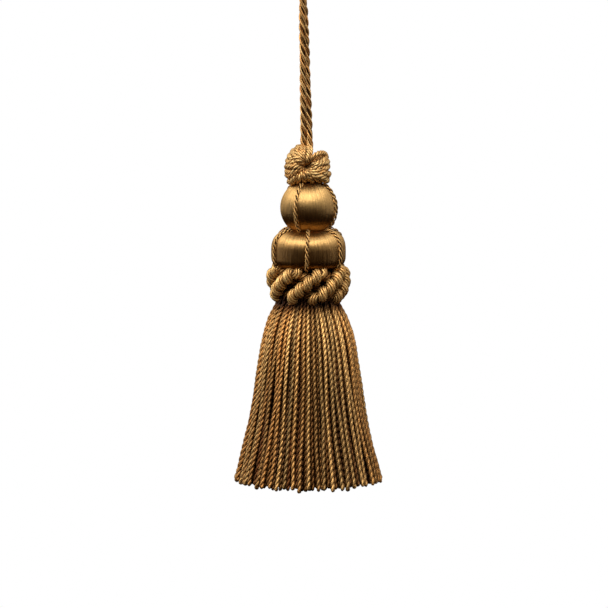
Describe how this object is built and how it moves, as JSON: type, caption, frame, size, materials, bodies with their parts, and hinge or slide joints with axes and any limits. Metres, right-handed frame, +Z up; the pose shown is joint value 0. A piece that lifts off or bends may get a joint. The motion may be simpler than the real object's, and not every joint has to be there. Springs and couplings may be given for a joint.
{
  "type": "silk key tassel with hanging loop",
  "caption": "Silk tassel on a cord loop: a looped rosette over two floss-covered moulds, a wound rope collar and a flared skirt of twisted bullion cords.",
  "frame": {"origin": "the hang point, on the inner side of the top of the cord loop, where a hook, key or knob bears", "axes": "+Z up along the hang; the tassel hangs towards -Z with its front towards -Y; its own axis is parallel to Z, 2.1 mm to the +X side, because the loop leans"},
  "size_m": [0.0518, 0.0518, 0.1783],
  "materials": {
    "cord_silk": "two-ply twisted silk cord, soft sheen",
    "rosette_silk": "looped two-ply silk cord",
    "mould_floss": "untwisted silk floss laid along the meridians, satin lustre",
    "trim_cord": "fine two-ply silk cord",
    "collar_gimp": "thick gimp rope wrapped with fine thread",
    "skirt_bullion": "twisted bullion cords of silk, antique gold"
  },
  "bodies": {
    "root": {"hanging_cord": "cord_silk", "top_rosette": "rosette_silk", "upper_mould": "mould_floss", "upper_mould_cord_1": "trim_cord", "upper_mould_cord_2": "trim_cord", "upper_mould_cord_3": "trim_cord", "upper_mould_cord_4": "trim_cord", "lower_mould": "mould_floss", "lower_mould_cord_1": "trim_cord", "lower_mould_cord_2": "trim_cord", "lower_mould_cord_3": "trim_cord", "lower_mould_cord_4": "trim_cord", "lower_mould_cord_5": "trim_cord", "lower_mould_cord_6": "trim_cord", "plaited_collar": "collar_gimp", "bullion_skirt": "skirt_bullion"}
  },
  "joints": []
}
